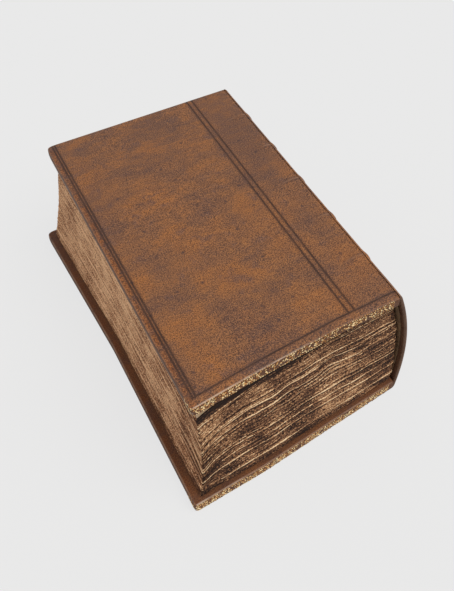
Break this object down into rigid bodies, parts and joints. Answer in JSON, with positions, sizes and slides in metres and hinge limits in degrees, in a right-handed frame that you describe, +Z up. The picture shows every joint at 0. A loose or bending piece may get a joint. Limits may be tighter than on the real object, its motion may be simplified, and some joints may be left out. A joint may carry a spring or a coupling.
{
  "type": "antique leather book",
  "caption": "Small thick calf-bound book with rounded banded spine, ruled covers, gilt board edges, cockled leaves and two opening covers.",
  "frame": {"origin": "on the table, under the middle of the closed book's outline", "axes": "+Z up from the back cover to the front cover, +Y from the tail edge to the head edge, +X from the fore edge to the spine"},
  "size_m": [0.102, 0.1572, 0.0527],
  "materials": {
    "calf": "satin",
    "pasteboard": "matte",
    "endpaper": "matte",
    "gold_leaf": "satin",
    "leaves": "matte",
    "cord": "matte",
    "lining": "matte"
  },
  "bodies": {
    "back_cover": {"back_cover_leather": "calf", "back_board": "pasteboard", "back_pastedown": "endpaper", "back_gilt_roll": "gold_leaf", "back_cord_slip_1": "cord", "back_cord_slip_2": "cord", "back_cord_slip_3": "cord", "back_cord_slip_4": "cord", "back_cord_slip_5": "cord"},
    "book_block": {"text_block": "leaves", "back_free_leaf": "endpaper", "front_free_leaf": "endpaper", "spine_leather": "calf", "sewing_cord_1": "cord", "sewing_cord_2": "cord", "sewing_cord_3": "cord", "sewing_cord_4": "cord", "sewing_cord_5": "cord", "spine_lining_1": "lining", "spine_lining_2": "lining", "spine_lining_3": "lining", "spine_lining_4": "lining", "spine_lining_5": "lining", "spine_lining_6": "lining"},
    "front_cover": {"front_cover_leather": "calf", "front_board": "pasteboard", "front_pastedown": "endpaper", "front_gilt_roll": "gold_leaf", "front_cord_slip_1": "cord", "front_cord_slip_2": "cord", "front_cord_slip_3": "cord", "front_cord_slip_4": "cord", "front_cord_slip_5": "cord"}
  },
  "joints": [
    {"name": "back_joint", "type": "hinge", "parent": "back_cover", "child": "book_block", "pos_m": [0.0427, 0.00249, 0], "axis": [0.032, 0.9995, 0], "range_deg": [0, 90]},
    {"name": "front_joint", "type": "hinge", "parent": "book_block", "child": "front_cover", "pos_m": [0.04295, 0.00444, 0.0524], "axis": [0.0392, 0.9992, 0], "range_deg": [0, 170]}
  ]
}
